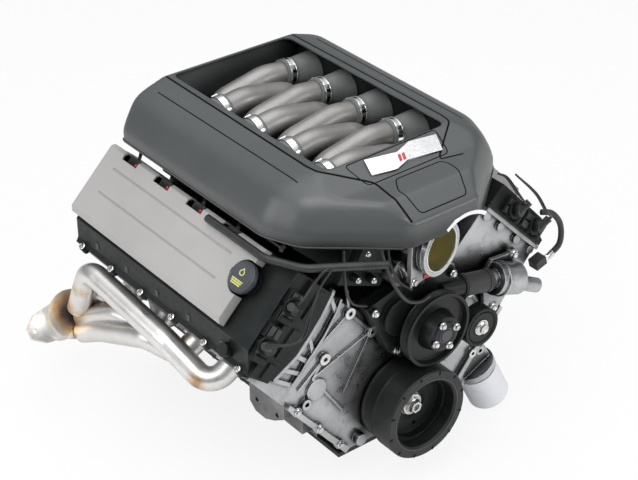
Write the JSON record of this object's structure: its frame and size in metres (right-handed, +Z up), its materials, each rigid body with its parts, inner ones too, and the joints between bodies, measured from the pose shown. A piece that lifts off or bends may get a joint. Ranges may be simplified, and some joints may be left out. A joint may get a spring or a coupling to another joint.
{
  "type": "car engine",
  "caption": "V engine with overhead camshafts, dark windowed intake cover over crossing runners, tubular exhaust headers, timing cover, pump pulley and crank damper.",
  "frame": {"origin": "centre of the crankshaft's rear flange face, on the crankshaft axis", "axes": "+Z up, +Y to the rear of the engine (out of the flange), +X to the engine's left"},
  "size_m": [0.824, 0.754, 0.6352],
  "materials": {
    "cast_aluminium": "sand cast, bright",
    "machined_steel": "machined",
    "bolt_steel": "zinc plated",
    "cast_iron": "dark cast",
    "black_plastic": "satin moulded",
    "cover_plastic": "satin moulded",
    "grey_plastic": "satin light grey",
    "rubber": "matt",
    "chrome": "polished",
    "stainless": "drawn tube, heat tinted",
    "runner_satin": "satin taupe",
    "painted_black": "black",
    "painted_white": "white enamel",
    "brass_plate": "satin",
    "forged_aluminium": "machined"
  },
  "bodies": {
    "engine": {"engine_block": "cast_aluminium", "cylinder_liners": "cast_iron", "main_caps": "cast_iron", "structural_bolts": "bolt_steel", "main_bearings": "machined_steel", "pistons": "forged_aluminium", "piston_rings": "machined_steel", "wrist_pins": "machined_steel", "connecting_rods": "machined_steel", "cylinder_heads": "cast_aluminium", "gaskets": "machined_steel", "valves": "machined_steel", "valve_springs": "machined_steel", "cam_followers": "machined_steel", "cam_caps": "cast_aluminium", "timing_chains": "machined_steel", "chain_guides": "black_plastic", "timing_cover": "cast_aluminium", "oil_pan": "cast_aluminium", "oil_pump": "machined_steel", "oil_filter": "painted_white", "filter_adapter": "cast_aluminium", "cam_covers": "black_plastic", "coil_covers": "grey_plastic", "ignition_coils": "black_plastic", "spark_plugs": "machined_steel", "water_pump_housing": "painted_black", "water_neck": "cast_aluminium", "coolant_hose": "rubber", "lower_manifold": "black_plastic", "intake_runners": "runner_satin", "runner_boots": "rubber", "runner_clamps": "chrome", "plenum_cover": "cover_plastic", "cover_badge": "chrome", "throttle_body": "cast_aluminium", "fuel_rails": "machined_steel", "injectors": "black_plastic", "exhaust_headers": "stainless", "wiring_harness": "rubber", "flange_bolts": "bolt_steel"},
    "crank": {"crankshaft": "machined_steel", "crank_sprocket": "machined_steel", "damper_hub": "painted_black", "damper_ring": "painted_black", "damper_bolt": "bolt_steel"},
    "cam_right_intake": {"camshaft_right_intake": "cast_iron", "phaser_right_intake": "machined_steel"},
    "cam_right_exhaust": {"camshaft_right_exhaust": "cast_iron", "phaser_right_exhaust": "machined_steel"},
    "cam_left_intake": {"camshaft_left_intake": "cast_iron", "phaser_left_intake": "machined_steel"},
    "cam_left_exhaust": {"camshaft_left_exhaust": "cast_iron", "phaser_left_exhaust": "machined_steel"},
    "pump_rotor": {"water_pump_rotor": "machined_steel", "pump_pulley": "painted_black", "pulley_bolts": "bolt_steel"},
    "idler": {"idler_pulley": "black_plastic"},
    "throttle": {"throttle_plate": "brass_plate"},
    "oil_fill": {"oil_cap": "black_plastic"}
  },
  "joints": [
    {"name": "crank_spin", "type": "hinge", "parent": "engine", "child": "crank", "pos_m": [0, 0, 0], "axis": [0, 1, 0], "continuous": true, "deforming": ["connecting_rods", "cam_followers"]},
    {"name": "cam_right_intake_spin", "type": "hinge", "parent": "engine", "child": "cam_right_intake", "pos_m": [-0.21708, -0.25, 0.27082], "axis": [0, 1, 0], "continuous": true},
    {"name": "cam_right_exhaust_spin", "type": "hinge", "parent": "engine", "child": "cam_right_exhaust", "pos_m": [-0.27082, -0.25, 0.21708], "axis": [0, 1, 0], "continuous": true},
    {"name": "cam_left_intake_spin", "type": "hinge", "parent": "engine", "child": "cam_left_intake", "pos_m": [0.21708, -0.25, 0.27082], "axis": [0, 1, 0], "continuous": true},
    {"name": "cam_left_exhaust_spin", "type": "hinge", "parent": "engine", "child": "cam_left_exhaust", "pos_m": [0.27082, -0.25, 0.21708], "axis": [0, 1, 0], "continuous": true},
    {"name": "water_pump_spin", "type": "hinge", "parent": "engine", "child": "pump_rotor", "pos_m": [0.033, -0.6, 0.1586], "axis": [0, 1, 0], "continuous": true},
    {"name": "idler_spin", "type": "hinge", "parent": "engine", "child": "idler", "pos_m": [0.1447, -0.59, 0.1127], "axis": [0, 1, 0], "continuous": true},
    {"name": "throttle_turn", "type": "hinge", "parent": "engine", "child": "throttle", "pos_m": [0.02127, -0.57092, 0.328], "axis": [0.9781, 0.2079, 0], "range_deg": [0, 80], "stiffness_Nm_per_rad": 0.05, "springref_deg": -20.05},
    {"name": "oil_cap_turn", "type": "hinge", "parent": "engine", "child": "oil_fill", "pos_m": [-0.28426, -0.476, 0.32951], "axis": [-0.7071, 0, 0.7071], "range_deg": [0, 90]}
  ],
  "couplings": [
    {"joint": "cam_right_intake_spin", "follows": "crank_spin", "ratio": 0.5},
    {"joint": "cam_right_exhaust_spin", "follows": "crank_spin", "ratio": 0.5},
    {"joint": "cam_left_intake_spin", "follows": "crank_spin", "ratio": 0.5},
    {"joint": "cam_left_exhaust_spin", "follows": "crank_spin", "ratio": 0.5}
  ]
}
